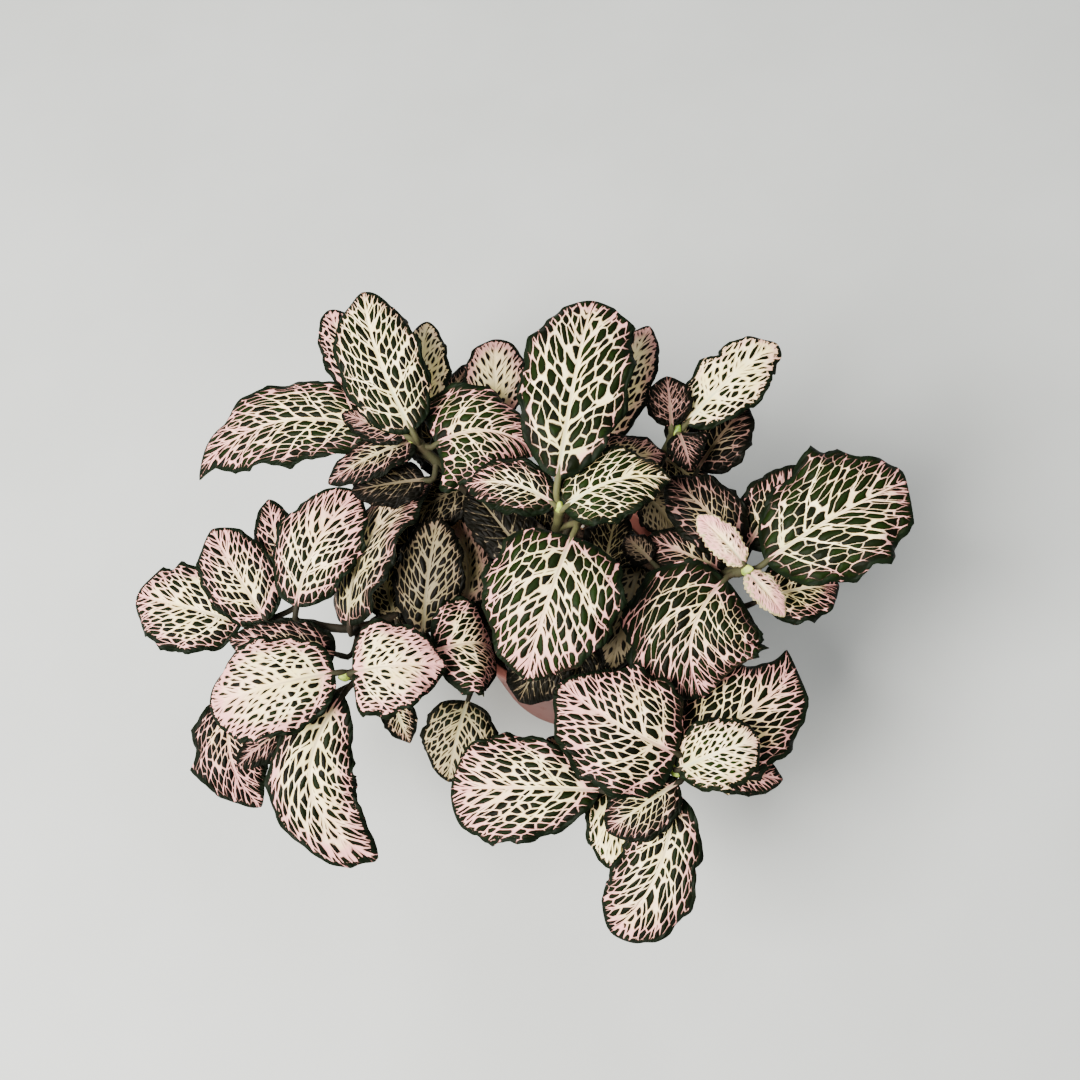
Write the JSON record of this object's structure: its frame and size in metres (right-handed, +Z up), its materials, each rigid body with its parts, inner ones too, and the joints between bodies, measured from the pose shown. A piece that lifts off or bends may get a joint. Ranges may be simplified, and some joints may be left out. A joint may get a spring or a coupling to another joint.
{
  "type": "potted nerve plant",
  "caption": "Bushy nerve plant with net-veined cream, pink and green leaves in a small plastic nursery pot.",
  "frame": {"origin": "centre of the pot's flat underside, on the surface that it stands on", "axes": "+Z up, the middle line of the pot; +X to the right and +Y to the back as the picture shows it"},
  "size_m": [0.2253, 0.1872, 0.1335],
  "materials": {
    "pot_plastic": "matte",
    "soil": "rough",
    "back_left_foliage": "satin",
    "middle_foliage": "satin",
    "back_right_foliage": "satin",
    "right_foliage": "satin",
    "front_foliage": "satin",
    "left_foliage": "satin",
    "low_left_foliage": "satin",
    "low_middle_foliage": "satin",
    "low_right_foliage": "satin"
  },
  "bodies": {
    "root": {"pot": "pot_plastic", "soil": "soil", "back_left_shoot": "back_left_foliage", "middle_shoot": "middle_foliage", "back_right_shoot": "back_right_foliage", "right_shoot": "right_foliage", "front_shoot": "front_foliage", "left_shoot": "left_foliage", "low_left_shoot": "low_left_foliage", "low_middle_shoot": "low_middle_foliage", "low_right_shoot": "low_right_foliage"}
  },
  "joints": []
}
